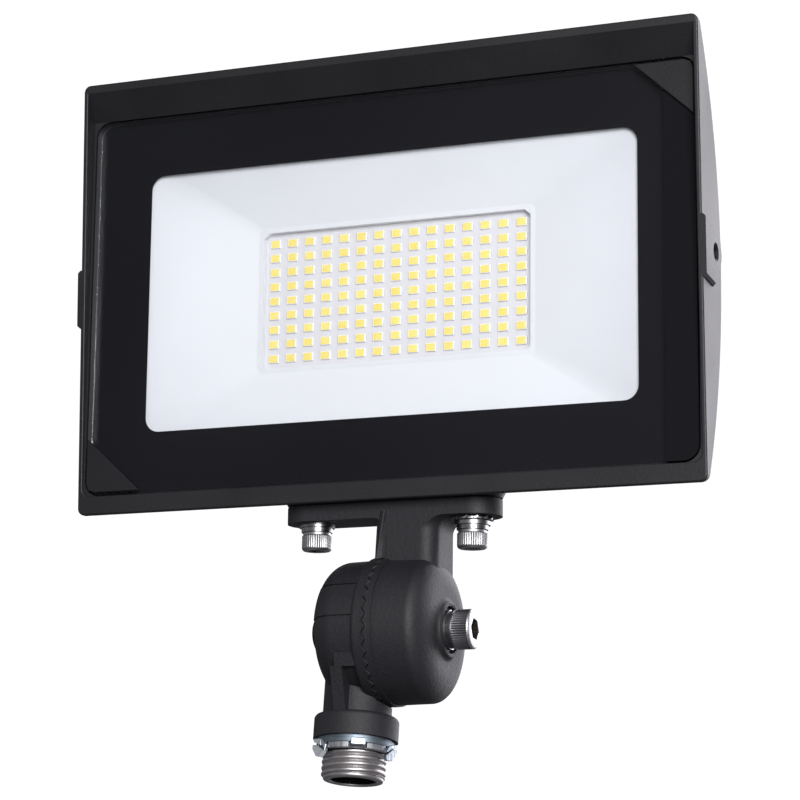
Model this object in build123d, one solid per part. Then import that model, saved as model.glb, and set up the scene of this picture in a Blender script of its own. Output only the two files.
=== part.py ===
from build123d import *
import math
import os

# LED flood light with a knuckle mount, millimetres.
# Row frame: origin on the conduit thread's axis at the collar's underside,
# +Z up along the thread axis, the nipple pointing down, X along the knuckle's
# pivot, -Y towards the side the light shines to.
# The lamp head is drawn in its own upright frame (suffix "head"): x = 0 is its
# plane of symmetry, y = 0 the plane of the printed window, z = 0 the centre of
# the LED field. HEAD places that frame, tilted face-down as in rest.

# ---------------------------------------------------------------- dimensions
TILT_DEG = 7.5            # rest tilt of the head, face down from upright
PIVOT_Z = 35.9            # pivot axis above the collar's underside
HEAD_DX = 10.6            # head's plane of symmetry, from the thread axis
PIVOT_Y_HEAD = 10.8       # pivot axis in the head frame
PIVOT_Z_HEAD = -113.85

# conduit end
THREAD_R = 10.45          # 1/2 in straight conduit thread, major radius
THREAD_LEN = 13.1
BORE_R = 7.45
COLLAR_R = 13.8
COLLAR_H = 7.9
NECK_R = 11.2
WASHER_T = 0.9
FREE_Z = 4.5              # the washer and locknut sit above here, on the thread's relief
RELIEF_R = 10.0

# knuckle (x measured from the head's plane of symmetry, along the pivot)
SEAM_L = -1.25            # root plane of the lower half's serration
SEAM_R = 0.38             # root plane of the upper half's serration
TOOTH_N = 38
TOOTH_R_IN = 18.8
TOOTH_R_OUT = 24.4
TOOTH_GAP = 0.10          # left between the two rows of tips
DOME_R = 23.9
DOME_X = 19.0             # flat face of the upper half
LOWER_R = 22.95
LOWER_X = -21.5           # flat face of the lower half
BAND_R = 24.4
BOLT_R = 3.95             # M8 clamp bolt
BOLT_HEAD_X0 = 20.6
BOLT_HEAD_X1 = 28.6
BOLT_HEAD_R = 6.5
BOLT_END_X = -24.4
NUT_X0 = -26.3
NUT_X1 = -19.8
NUT_AF = 13.0
DISC_X = 2.1              # right edge of the disc behind the teeth
STEM_X0 = 0.55
STEM_X1 = 17.6
STEM_HY = 8.85
STEM_R_FRONT = 5.0        # free side: soft front edge, nearly sharp rear edge
STEM_R_BACK = 0.7
PLATE_HX = 37.4
PLATE_HY = 8.85
PLATE_R = 8.8             # ends nearly round, about the bolts
PLATE_T = 5.3
PLATE_TOP = -72.1         # head frame
FLANGE_BOLT_X = 27.5
GASKET_T = 0.7

# housing
HALF_W = 110.2
TOP_Z = 77.9
BOT_Z = -72.3
RIM_Y_TOP = -9.0
RIM_Y_BOT = -3.3
BACK_Y_MID = 15.45
BACK_Z_MID = -8.0
WALL = 2.8
POCKET_HX = 108.0
POCKET_HZ = 66.0
POCKET_R = 5.6
SOFFIT_Z = 75.2
GLASS_FRONT = -2.7
GLASS_T = 3.0
GLASS_HX = 107.4
GLASS_HZ = 65.3
SEAL_T = 1.0
SEAL_HX = 106.4
SEAL_HZ = 64.2
CAV_HX = 95.0
CAV_HZ = 54.0
BLOCK_Y = 33.0            # rear face of the driver bay
BAY_Y0 = 15.65            # front wall of the driver bay
COVER_T = 3.0

# light engine
WIN_HX = 87.2
LED_NX, LED_NZ = 15, 9
LED_PX, LED_PZ = 6.34, 5.00
LED_W, LED_H, LED_T = 3.5, 2.8, 0.7
PHOS_Y = 9.95             # front plane of the LED packages
BOARD_HX, BOARD_HZ, BOARD_T = 56.0, 31.0, 1.6
PAD_T = 0.4
OPEN_HX, OPEN_HZ = 48.1, 23.6


def bx(x0, x1, y0, y1, z0, z1):
    return Pos((x0 + x1) / 2, (y0 + y1) / 2, (z0 + z1) / 2) * Box(
        abs(x1 - x0), abs(y1 - y0), abs(z1 - z0))


def cx(r, x0, x1, y=0.0, z=0.0):
    return Pos((x0 + x1) / 2, y, z) * Rot(0, 90, 0) * Cylinder(r, abs(x1 - x0))


def cy(r, y0, y1, x=0.0, z=0.0):
    return Pos(x, (y0 + y1) / 2, z) * Rot(90, 0, 0) * Cylinder(r, abs(y1 - y0))


def cz(r, z0, z1, x=0.0, y=0.0):
    return Pos(x, y, (z0 + z1) / 2) * Cylinder(r, abs(z1 - z0))


def slab_y(hx, hz, r, y0, y1, zc=0.0, xc=0.0):
    # rounded rectangle in the front view, as thick as y0..y1
    pl = Plane(origin=(xc, y0, zc), x_dir=(1, 0, 0), z_dir=(0, 1, 0))
    return extrude(pl * RectangleRounded(2 * hx, 2 * hz, r), y1 - y0)


def slab_z(hx, hy, r, z0, z1, xc=0.0, yc=0.0):
    pl = Plane(origin=(xc, yc, z0), x_dir=(1, 0, 0), z_dir=(0, 0, 1))
    return extrude(pl * RectangleRounded(2 * hx, 2 * hy, r), z1 - z0)


def loft_y(hx0, hz0, r0, y0, hx1, hz1, r1, y1, zc=0.0):
    a = Plane(origin=(0, y0, zc), x_dir=(1, 0, 0), z_dir=(0, 1, 0)) * RectangleRounded(2 * hx0, 2 * hz0, r0)
    b = Plane(origin=(0, y1, zc), x_dir=(1, 0, 0), z_dir=(0, 1, 0)) * RectangleRounded(2 * hx1, 2 * hz1, r1)
    return loft([a.face() if hasattr(a, "face") else a, b.face() if hasattr(b, "face") else b])


def rev_x(edges):
    # closed profile in the XY plane (x along the axis, y the radius), turned about X
    return revolve(make_face(edges), axis=Axis.X, revolution_arc=360)


def prism_x(pts, x0, x1):
    # polygon given as (y, z), drawn along X
    w = Polyline(*[(x0, p[0], p[1]) for p in pts], close=True)
    return extrude(make_face(w), x1 - x0, dir=(1, 0, 0))


def hexa(af, x0, x1):
    h = Plane(origin=(x0, 0, 0), x_dir=(0, 1, 0), z_dir=(1, 0, 0)) * RegularPolygon(af / 2, 6, major_radius=False)
    return extrude(h, x1 - x0)


def one(shape):
    # a single solid out of a boolean's result
    s = shape.solids() if hasattr(shape, "solids") else [shape]
    s = sorted(s, key=lambda q: -q.volume)
    return s[0]


HEAD = Pos(HEAD_DX, 0, PIVOT_Z) * Rot(TILT_DEG, 0, 0) * Pos(0, -PIVOT_Y_HEAD, -PIVOT_Z_HEAD)
KNUCKLE_HEAD = Pos(HEAD_DX, 0, PIVOT_Z) * Rot(TILT_DEG, 0, 0)   # pivot-centred, upright head axes
KNUCKLE_ROW = Pos(HEAD_DX, 0, PIVOT_Z)                          # pivot-centred, row axes

nodes = {}


# ------------------------------------------------------------------ knuckle
def serration(root, tip, flip):
    # radial V-grooves between the teeth, for one half; depth grows with the radius
    pitch = 2 * math.pi / TOOTH_N
    tools = []
    ro, ri = TOOTH_R_OUT + 1.0, TOOTH_R_IN - 1.5
    over = 0.6 if tip > root else -0.6
    for i in range(TOOTH_N):
        a = (i + (0.5 if flip else 0.0)) * pitch
        faces = []
        for r in (ri, ro):
            w = pitch / 2 * r
            k = (tip + over - root) / (tip - root)
            p = [(root, 0.0), (tip + over, w * k), (tip + over, -w * k)]
            pts = []
            for x, t in p:
                pts.append((x, r * math.sin(a) + t * math.cos(a), r * math.cos(a) - t * math.sin(a)))
            faces.append(make_face(Polyline(*pts, close=True)))
        tools.append(loft(faces, ruled=True))
    return tools


MID = (SEAM_L + SEAM_R) / 2
LOW_TIP = MID - TOOTH_GAP / 2
UP_TIP = MID + TOOTH_GAP / 2

# lower half: domed cup with the neck and the threaded hub's collar
low_edges = [
    Line((SEAM_L - 3.35, 0), (SEAM_L - 3.35, LOWER_R)),
    Line((SEAM_L - 3.35, LOWER_R), (-12.5, LOWER_R - 0.3)),
    EllipticalCenterArc((-12.5, LOWER_R - 10.8), 9.0, 10.5, 90, arc_size=90),
    Line((LOWER_X, LOWER_R - 10.8), (LOWER_X, 0)),
    Line((LOWER_X, 0), (SEAM_L - 3.35, 0)),
]
low_dome = rev_x(low_edges)
low_band = rev_x([Polyline((SEAM_L, 0), (SEAM_L, BAND_R), (SEAM_L - 2.7, BAND_R), (SEAM_L - 3.3, BAND_R - 0.2),
                          (SEAM_L - 3.7, BAND_R - 0.7), (SEAM_L - 4.1, LOWER_R - 0.1), (SEAM_L - 4.4, LOWER_R - 1.0),
                          (SEAM_L - 4.4, 0), close=True)])
low_teeth = cx(TOOTH_R_OUT, SEAM_L - 0.01, LOW_TIP) - cx(TOOTH_R_IN, SEAM_L - 1, LOW_TIP + 1)
low_teeth = low_teeth - serration(SEAM_L, LOW_TIP, False)
lower = low_dome + low_band
lower = KNUCKLE_ROW * lower
neck = cz(NECK_R, 0.5, 27.0)
neck = neck - Pos(HEAD_DX, 0, PIVOT_Z) * cx(BAND_R + 0.5, SEAM_L - 0.4, 14)
collar = cz(COLLAR_R, 0, COLLAR_H)
collar = fillet(collar.edges().filter_by(GeomType.CIRCLE).sort_by(Axis.Z)[-1], 1.6)
# cast gusset under the dome and its shelf, front and back, and the raised band
ribs = []
for m in (1, -1):
    ribs.append(prism_x([(m * q[0], q[1]) for q in [(-12.0, 24.6), (-20.3, 24.6), (-18.9, 20.4), (-12.0, 20.4)]][::m], -1.0, 6.1))
    ribs.append(prism_x([(m * q[0], q[1]) for q in [(-9.0, 21.0), (-18.9, 20.6), (-13.1, 7.0), (-9.0, 7.0)]][::m], -2.6, 1.5))
band_edges = [
    Line((SEAM_L - 3.0, 0), (SEAM_L - 3.0, LOWER_R + 0.65)),
    Line((SEAM_L - 3.0, LOWER_R + 0.65), (-12.5, LOWER_R + 0.35)),
    EllipticalCenterArc((-12.5, LOWER_R - 10.15), 9.0, 10.5, 90, arc_size=90),
    Line((LOWER_X, LOWER_R - 10.15), (LOWER_X, 0)),
    Line((LOWER_X, 0), (SEAM_L - 3.0, 0)),
]
band = KNUCKLE_ROW * (rev_x(band_edges) & bx(-30, 0, -30, 30, 0.3, 10.85))
# the dome's crown stands proud too, with a narrow crease between it and the band
crown_edges = [
    Line((SEAM_L - 3.0, 0), (SEAM_L - 3.0, LOWER_R + 0.45)),
    Line((SEAM_L - 3.0, LOWER_R + 0.45), (-12.5, LOWER_R + 0.2)),
    EllipticalCenterArc((-12.5, LOWER_R - 10.3), 9.0, 10.5, 90, arc_size=90),
    Line((LOWER_X, LOWER_R - 10.3), (LOWER_X, 0)),
    Line((LOWER_X, 0), (SEAM_L - 3.0, 0)),
]
crown = KNUCKLE_ROW * (rev_x(crown_edges) & bx(-30, 0, -30, 30, 11.35, 30))
lower = lower + neck + collar + band + crown + ribs
# wire space: cup open at the seam, around a central boss for the bolt
low_cav_edges = [
    Line((0.5, 0), (0.5, 17.0)),
    Line((0.5, 17.0), (SEAM_L - 3.0, 17.0)),
    Line((SEAM_L - 3.0, 17.0), (SEAM_L - 3.8, 19.6)),
    Line((SEAM_L - 3.8, 19.6), (-11.5, 19.4)),
    Line((-11.5, 19.4), (-16.5, 15.5)),
    Line((-16.5, 15.5), (-18.0, 11.0)),
    Line((-18.0, 11.0), (-18.0, 0)),
    Line((-18.0, 0), (0.5, 0)),
]
low_cav = rev_x(low_cav_edges)
low_cav = low_cav - cx(8.0, -19, SEAM_L - 0.6)
low_seat = cx(18.3, SEAM_L - 1.2, 1.0) - cx(15.0, SEAM_L - 3, 2.0)
lower = lower - KNUCKLE_ROW * low_cav
lower = lower - KNUCKLE_ROW * low_seat
lower = lower - cz(BORE_R + 0.35, 6.0, 24.0)
lower = lower - cz(10.15, -1, 7.0)
lower = lower - KNUCKLE_ROW * cx(4.2, -30, 3)
lower = lower - KNUCKLE_ROW * hexa(NUT_AF + 0.3, LOWER_X - 1, NUT_X1)
lower = lower + KNUCKLE_ROW * low_teeth
nodes["lower_knuckle"] = one(lower)

# threaded hub, pressed in the collar
nip = cz(THREAD_R, -THREAD_LEN, -FREE_Z - 0.2)
nip = chamfer(nip.edges().filter_by(GeomType.CIRCLE).sort_by(Axis.Z)[0], 0.8)
nip = nip + cz(RELIEF_R, -FREE_Z - 0.25, 0) + cz(10.05, -0.5, 6.8)
nip = nip - cz(BORE_R, -THREAD_LEN - 1, 8)
nip = chamfer(nip.edges().filter_by(GeomType.CIRCLE).filter_by(lambda e: abs(e.radius - BORE_R) < 0.01).sort_by(Axis.Z)[0], 0.5)
nodes["conduit_nipple"] = one(nip)

# plated washer against the collar, and the stamped locknut with six lugs
wash = cz(12.6, -WASHER_T, -0.02) - cz(THREAD_R + 0.1, -3, 1)
nodes["locknut_washer"] = one(wash)
lock = cz(12.3, -2.45, -WASHER_T - 0.02) + cz(12.75, -FREE_Z + 0.05, -2.4)
for i in range(6):
    a = Rot(0, 0, -63 + 60 * i)
    lock = lock - a * bx(11.5, 15.0, -2.6, 2.6, -5.0, -3.6)
    lock = lock + a * bx(12.0, 13.85, -2.45, 2.45, -3.6, -1.3)
lock = lock - cz(THREAD_R + 0.08, -6, 2)
nodes["locknut"] = one(lock)

# nut, held in the lower half's hexagonal recess
nut = hexa(NUT_AF, NUT_X0, NUT_X1 - 0.02)
nut = nut & rev_x([Polyline((NUT_X0, 0), (NUT_X0, 5.4), (NUT_X0 + 0.5, 6.3), (NUT_X0 + 1.4, 6.9), (NUT_X0 + 3.0, 7.2), (NUT_X1 + 1, 7.2), (NUT_X1 + 1, 0), close=True)])
nut = nut - cx(BOLT_R + 0.08, NUT_X0 - 1, NUT_X1 + 1)
nodes["clamp_nut"] = one(KNUCKLE_ROW * nut)

# seal between the two halves, in the lower half's groove
seal = cx(18.1, SEAM_L - 1.15, SEAM_R - 0.12) - cx(15.3, -6, 3)
nodes["knuckle_seal"] = one(KNUCKLE_ROW * seal)

# upper half: backing disc, dome, stem and flange plate in one casting
up_edges = [
    Line((DISC_X - 0.05, 0), (DISC_X - 0.05, DOME_R)),
    Line((DISC_X - 0.05, DOME_R), (13.1, DOME_R - 0.25)),
    EllipticalCenterArc((13.1, DOME_R - 10.25), DOME_X - 13.1, 10.0, 0, arc_size=90),
    Line((DOME_X, DOME_R - 10.25), (DOME_X, 0)),
    Line((DOME_X, 0), (DISC_X - 0.05, 0)),
]
up_dome = rev_x(up_edges)
up_disc = cx(BAND_R, SEAM_R, DISC_X)
up_teeth = cx(TOOTH_R_OUT, SEAM_R + 0.01, UP_TIP) - cx(TOOTH_R_IN, UP_TIP - 1, SEAM_R + 1)
up_teeth = up_teeth - serration(SEAM_R, UP_TIP, True)
PT = PLATE_TOP - PIVOT_Z_HEAD          # plate's top, from the pivot
PB = PT - PLATE_T
# stem blended into the plate all round, then trimmed to the plate's outline
stem = bx(STEM_X0, STEM_X1, -STEM_HY, STEM_HY, 0, PB + 1)
stem = fillet(stem.edges().filter_by(Axis.Z).group_by(Axis.X)[-1].sort_by(Axis.Y)[0], STEM_R_FRONT)
stem = fillet(stem.edges().filter_by(Axis.Z).sort_by(Axis.X)[-1], STEM_R_BACK)
stem = fillet(stem.edges().filter_by(Axis.Z).group_by(Axis.X)[0], 0.4)
stem = stem + bx(-PLATE_HX - 2, PLATE_HX + 2, -30, 30, PB, PT)
foot_edges = stem.edges().filter_by(
    lambda e: abs(e.bounding_box().min.Z - PB) < 1e-3 and abs(e.bounding_box().max.Z - PB) < 1e-3
    and abs(e.center().Y) < STEM_HY + 0.5 and abs(e.center().X) < 20)
stem = fillet(foot_edges, 4.6)
stem = stem & slab_z(PLATE_HX, PLATE_HY, PLATE_R, 0, PT)
# ridged strip along the stem's seam side; its foot follows the lower half's ring
def strip_half(m):
    lo = [(-3.3, 0.0), (-3.3, 8.6), (-3.2, 9.3), (-3.0, 9.65), (-2.7, 9.55), (-1.2, 8.75), (2.0, 8.7), (2.0, 0.0)]
    hi = [(-2.5, 0.0), (-2.5, 8.0), (-0.7, 9.3), (0.35, 9.65), (0.6, 9.55), (0.85, 8.8), (2.0, 8.7), (2.0, 0.0)]
    fa = [make_face(Polyline(*[(p[0], m * p[1], z) for p in q], close=True)) for q, z in ((lo, 18.0), (hi, PB + 2.0))]
    return loft(fa, ruled=True)


strip = strip_half(1) + strip_half(-1)
strip = strip - cx(BAND_R + 0.35, -8, SEAM_R) - cx(BAND_R - 1.0, -8, DISC_X)
boss_ring = rev_x([Polyline((17.0, 0), (20.35, 0), (20.35, 8.1), (20.5, 8.3), (20.45, 8.75), (20.1, 9.2), (19.5, 9.6),
                            (19.1, 10.2), (18.95, 11.0), (17.0, 11.0), close=True)])
upper = up_dome + up_disc + stem + strip + boss_ring
up_cav_edges = [
    Line((-1.0, 0), (-1.0, 18.4)),
    Line((-1.0, 18.4), (2.2, 18.4)),
    Line((2.2, 18.4), (3.0, 20.6)),
    Line((3.0, 20.6), (12.0, 20.3)),
    Line((12.0, 20.3), (15.2, 17.0)),
    Line((15.2, 17.0), (15.8, 12.0)),
    Line((15.8, 12.0), (15.8, 0)),
    Line((15.8, 0), (-1.0, 0)),
]
up_cav = rev_x(up_cav_edges) - cx(8.0, SEAM_R + 0.4, 17)
upper = upper - up_cav
upper = upper - bx(5.6, 14.9, -5.8, 5.8, 15.0, PT + 1)
upper = upper - cx(4.25, -2, 25)
upper = upper - cx(7.75, DOME_X - 1.6, DOME_X + 5)
for s in (-1, 1):
    upper = upper - cz(3.3, PB - 1, PT + 1, s * FLANGE_BOLT_X, 0)
upper = upper + Rot(-TILT_DEG, 0, 0) * up_teeth      # in mesh with the lower row in the rest tilt
nodes["upper_knuckle"] = one(KNUCKLE_HEAD * upper)

# washers under the clamp bolt's head, and the bolt
fw = cx(7.45, DOME_X - 1.58, DOME_X - 0.1) - cx(4.2, 10, 30)
nodes["clamp_flat_washer"] = one(KNUCKLE_ROW * fw)
sw = cx(6.45, DOME_X - 0.08, BOLT_HEAD_X0 - 0.02) - cx(4.2, 10, 30)
sw = sw - bx(18, 21, -1.0, 1.0, 3.5, 8.5)
nodes["clamp_spring_washer"] = one(KNUCKLE_ROW * sw)
head = cx(BOLT_HEAD_R, BOLT_HEAD_X0, BOLT_HEAD_X1)
head = fillet(head.edges().filter_by(GeomType.CIRCLE).sort_by(Axis.X)[-1], 0.7)
bolt = head + cx(BOLT_R, BOLT_END_X, BOLT_HEAD_X0 + 0.5)
bolt = bolt - hexa(6.0, BOLT_HEAD_X1 - 4.2, BOLT_HEAD_X1 + 1)
nodes["clamp_bolt"] = one(KNUCKLE_ROW * bolt)

# ------------------------------------------------------------------ flange joint
fg = slab_z(PLATE_HX - 0.9, PLATE_HY - 0.9, PLATE_R - 0.9, PLATE_TOP + 0.01, PLATE_TOP + GASKET_T - 0.01, 0, PIVOT_Y_HEAD)
for s in (-1, 1):
    fg = fg - cz(3.4, PLATE_TOP - 1, PLATE_TOP + 2, s * FLANGE_BOLT_X, PIVOT_Y_HEAD)
fg = fg - bx(5.6, 14.9, PIVOT_Y_HEAD - 5.8, PIVOT_Y_HEAD + 5.8, PLATE_TOP - 1, PLATE_TOP + 2)
nodes["flange_gasket"] = one(HEAD * fg)

PLATE_BOT = PLATE_TOP - PLATE_T
TOOTH_T = 1.6
FLAT_T = 1.2
SPRING_T = 1.5
z_left = PLATE_BOT
z_right = PLATE_BOT - TOOTH_T


def ring_z(ro, ri, z0, z1, x):
    return cz(ro, z0, z1, x, PIVOT_Y_HEAD) - cz(ri, z0 - 1, z1 + 1, x, PIVOT_Y_HEAD)


tw = ring_z(5.6, 3.2, z_right + 0.45, z_right + TOOTH_T - 0.45, FLANGE_BOLT_X)
for i in range(12):
    a = math.radians(30 * i)
    t = Pos(FLANGE_BOLT_X + 5.9 * math.cos(a), PIVOT_Y_HEAD + 5.9 * math.sin(a), z_right + TOOTH_T / 2) * Rot(
        0, 0, math.degrees(a)) * Rot(28, 0, 0) * Box(1.9, 1.5, 0.55)
    tw = tw + t
nodes["flange_tooth_washer"] = one(HEAD * tw)

flats, springs, bolts = [], [], []
for x, z in ((-FLANGE_BOLT_X, z_left), (FLANGE_BOLT_X, z_right)):
    flats.append(one(HEAD * ring_z(5.95, 3.2, z - FLAT_T + 0.01, z - 0.01, x)))
    sp = ring_z(5.2, 3.2, z - FLAT_T - SPRING_T + 0.01, z - FLAT_T - 0.01, x)
    sp = sp - Pos(x + 4.2 * math.cos(2.2), PIVOT_Y_HEAD + 4.2 * math.sin(2.2), z - FLAT_T - SPRING_T / 2) * Rot(0, 0, math.degrees(2.2)) * Rot(25, 0, 0) * Box(3.0, 0.7, 4.0)
    springs.append(one(HEAD * sp))
    zt = z - FLAT_T - SPRING_T
    b = cz(4.65, zt - 1.1, zt, x, PIVOT_Y_HEAD) + cz(5.0, zt - 6.2, zt - 1.0, x, PIVOT_Y_HEAD)
    b = fillet(b.edges().filter_by(GeomType.CIRCLE).sort_by(Axis.Z)[0], 0.5)
    b = b + cz(2.95, zt - 0.5, -64.0, x, PIVOT_Y_HEAD)
    hx = Plane(origin=(x, PIVOT_Y_HEAD, zt - 7.0), x_dir=(1, 0, 0), z_dir=(0, 0, 1)) * RegularPolygon(2.5, 6, major_radius=False)
    b = b - extrude(hx, 4.0)
    bolts.append(one(HEAD * b))
nodes["flange_flat_washers"] = flats
nodes["flange_spring_washers"] = springs
nodes["flange_bolts"] = bolts


# ------------------------------------------------------------------ housing
def rim_y(z):
    return RIM_Y_BOT + (z - BOT_Z) * (RIM_Y_TOP - RIM_Y_BOT) / (TOP_Z - BOT_Z)


def circle_3(p, q, r):
    # centre (y, z) and radius through three points
    (ax, ay), (bx_, by), (cx_, cy_) = p, q, r
    d = 2 * (ax * (by - cy_) + bx_ * (cy_ - ay) + cx_ * (ay - by))
    ux = ((ax**2 + ay**2) * (by - cy_) + (bx_**2 + by**2) * (cy_ - ay) + (cx_**2 + cy_**2) * (ay - by)) / d
    uy = ((ax**2 + ay**2) * (cx_ - bx_) + (bx_**2 + by**2) * (ax - cx_) + (cx_**2 + cy_**2) * (bx_ - ax)) / d
    return ux, uy, math.hypot(ax - ux, ay - uy)


BACK_C = circle_3((-7.4, TOP_Z), (BACK_Y_MID, BACK_Z_MID), (-1.4, BOT_Z))


def arc_solid(dy, x0, x1, front=-30.0):
    # everything in front of the curved back, offset inwards by -dy
    yc, zc, r = BACK_C[0], BACK_C[1], BACK_C[2] + dy
    zt, zb = TOP_Z + 6, BOT_Z - 6
    yt, yb = yc + math.sqrt(r * r - (zt - zc) ** 2), yc + math.sqrt(r * r - (zb - zc) ** 2)
    a = ThreePointArc((x0, yt, zt), (x0, yc + r, zc), (x0, yb, zb))
    l1 = Line((x0, yb, zb), (x0, front, zb))
    l2 = Line((x0, front, zb), (x0, front, zt))
    l3 = Line((x0, front, zt), (x0, yt, zt))
    return extrude(make_face([a, l1, l2, l3]), x1 - x0, dir=(1, 0, 0))


front_wedge = prism_x([(rim_y(TOP_Z + 6), TOP_Z + 6), (rim_y(BOT_Z - 6), BOT_Z - 6), (-40, BOT_Z - 6), (-40, TOP_Z + 6)], -120, 120)
shell = arc_solid(0, -HALF_W - 5, HALF_W + 5)
shell = shell & slab_y(HALF_W, (TOP_Z - BOT_Z) / 2, 2.4, -40, 40, (TOP_Z + BOT_Z) / 2)
shell = shell - front_wedge
soffit = prism_x([(-40, SOFFIT_Z + (40 + RIM_Y_TOP) * 1.46), (GLASS_FRONT, POCKET_HZ), (GLASS_FRONT, -POCKET_HZ), (-40, -POCKET_HZ)], -POCKET_HX - 0.6, POCKET_HX + 0.6)
soffit = soffit & slab_y(POCKET_HX + 0.6, 95.0, 3.0, -60, 20, 95.0 - POCKET_HZ)
shell = shell - soffit
# rounded edges of the rim
rim_face = shell.faces().filter_by(lambda f: f.normal_at().Y < -0.9 and abs(f.center().Y - rim_y(f.center().Z)) < 0.2).sort_by(Axis.Y)[0]
shell = fillet(rim_face.outer_wire().edges(), 0.6)
rim_face = shell.faces().filter_by(
    lambda f: f.geom_type == GeomType.PLANE and f.normal_at().Y < -0.9 and abs(f.center().Y - rim_y(f.center().Z)) < 0.2).sort_by(Axis.Y)[0]
shell = fillet(rim_face.inner_wires()[0].edges(), 0.4)
# side pads with a threaded hole each
for s in (-1, 1):
    xa, xb = (HALF_W - 1.0, HALF_W + 1.25) if s > 0 else (-HALF_W - 1.25, -HALF_W + 1.0)
    pad = prism_x([(-9, 12.4), (5.0, 12.6), (11.0, 9.4), (13.0, 2.6), (10.6, -4.6), (5.0, -8.6), (-9, -7.4)], xa, xb)
    outer = pad.faces().sort_by(Axis.X)[-1 if s > 0 else 0]
    pad = chamfer(outer.edges(), 0.9)
    shell = shell + pad
    shell = shell + cx(6.5, s * (HALF_W - 10), s * (HALF_W - 0.5), 5.35, 2.6)
# pan behind the glass, stepping in from the side faces
def rect_at(y, hx, z0, z1, r):
    pl = Plane(origin=(0, y, (z0 + z1) / 2), x_dir=(1, 0, 0), z_dir=(0, 1, 0))
    return (pl * RectangleRounded(2 * hx, z1 - z0, r)).face()


pan = loft([rect_at(-2.5, 109.6, BOT_Z + 0.6, 75.1, 3.4), rect_at(0.9, 109.2, BOT_Z + 0.9, 73.2, 4.0)], ruled=True)
pan = pan + loft([rect_at(0.9, 109.2, BOT_Z + 0.9, 73.2, 4.0), rect_at(4.4, 107.0, BOT_Z + 2.4, 69.6, 5.0)], ruled=True)
shell = shell + pan
# driver bay block on the back
base = Plane(origin=(0, 2.0, -4.0), x_dir=(1, 0, 0), z_dir=(0, 1, 0)) * RectangleRounded(168, 112, 6)
block = extrude(base, BLOCK_Y - 2.0, taper=10)
shell = shell + block
# mounting boss under the bay, flared upwards
foot = Plane(origin=(0, PIVOT_Y_HEAD, PLATE_TOP + GASKET_T), x_dir=(1, 0, 0), z_dir=(0, 0, 1)) * RectangleRounded(2 * PLATE_HX, 2 * PLATE_HY, PLATE_R)
boss = extrude(foot, 13.0, taper=-26)
boss = boss & bx(-60, 60, -1.0, 40, -80, -40)
shell = shell + boss
# cooling fins beside the bay and over its top, ends run out into the pan
def back_arc(z_top, z_bot, y_end, y_mid, x0, x1, front):
    zm = (z_top + z_bot) / 2
    a = ThreePointArc((x0, y_end, z_top), (x0, y_mid, zm), (x0, y_end, z_bot))
    l1 = Line((x0, y_end, z_bot), (x0, front, z_bot))
    l2 = Line((x0, front, z_bot), (x0, front, z_top))
    l3 = Line((x0, front, z_top), (x0, y_end, z_top))
    return extrude(make_face([a, l1, l2, l3]), x1 - x0, dir=(1, 0, 0))


fin_side = back_arc(67.5, -67.0, 4.0, 26.5, -106.4, 106.4, 2.0)
fin_top = back_arc(66.0, -66.0, 3.8, 32.0, -80.0, 80.0, 2.0)
side_list, top_list = [], []
for i in range(5):
    x = 80.6 + 6.2 * i
    for s in (-1, 1):
        side_list.append(bx(s * x - 0.95, s * x + 0.95, 2, 60, -67.5, 68))
for i in range(19):
    x = -74.7 + 8.3 * i
    top_list.append(bx(x - 0.95, x + 0.95, 2, 60, 46, 67))
fins = [fin_side & (Part() + side_list), fin_top & (Part() + top_list)]
shell = shell + fins
# front openings
shell = shell - front_wedge
shell = shell - soffit
shell = shell - slab_y(POCKET_HX, POCKET_HZ, POCKET_R, GLASS_FRONT - 0.5, GLASS_FRONT + GLASS_T)
shell = shell - slab_y(SEAL_HX + 0.2, SEAL_HZ + 0.2, 4.6, GLASS_FRONT, GLASS_FRONT + GLASS_T + SEAL_T)
inner = arc_solid(-WALL, -CAV_HX - 4, CAV_HX + 4) & slab_y(CAV_HX, CAV_HZ, 5.0, -10, 40)
inner = inner & bx(-CAV_HX - 1, CAV_HX + 1, 0.0, BAY_Y0 - 3.0, -CAV_HZ - 1, CAV_HZ + 1)
shell = shell - inner
shell = shell - slab_y(BOARD_HX + 4, BOARD_HZ + 3, 3, 0.0, BAY_Y0 - 3.0)
bay = slab_y(68, 45, 5, BAY_Y0, BLOCK_Y + 5, -4.0)
shell = shell - bay
# wire way from the bay down through the boss
shell = shell - cz(4.6, -80, -50.5, 10.2, PIVOT_Y_HEAD + 0.6)
shell = shell - bx(5.6, 14.8, PIVOT_Y_HEAD - 4, 22, -58.0, -46.0)
for s in (-1, 1):
    shell = shell - cz(3.0, -80, -62.0, s * FLANGE_BOLT_X, PIVOT_Y_HEAD)
    shell = shell - cx(2.5, s * (HALF_W - 8.2), s * (HALF_W + 3), 5.35, 2.6)
    xa = s * (HALF_W + 1.25)
    shell = shell - Pos(xa - s * 0.3, 5.35, 2.6) * Rot(0, s * 90, 0) * Cone(2.5, 3.1, 0.62)
COVER_SCREWS = [(sx * 72.5, -4.0 + sz * 33.0) for sx in (-1, 1) for sz in (-1, 1)] + [(0.0, -4.0 + 49.2), (0.0, -4.0 - 49.2)]
for x, z in COVER_SCREWS:
    shell = shell - cy(1.75, BLOCK_Y - 9, BLOCK_Y + 3, x, z)
BOARD_SCREWS = [(sx * 53.3, sz * 28.4) for sx in (-1, 1) for sz in (-1, 1)] + [(0.0, 28.4), (0.0, -28.4)]
for x, z in BOARD_SCREWS:
    shell = shell - cy(1.3, BAY_Y0 - 4, BAY_Y0 - 0.4, x, z)
nodes["housing"] = one(HEAD * shell)

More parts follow.
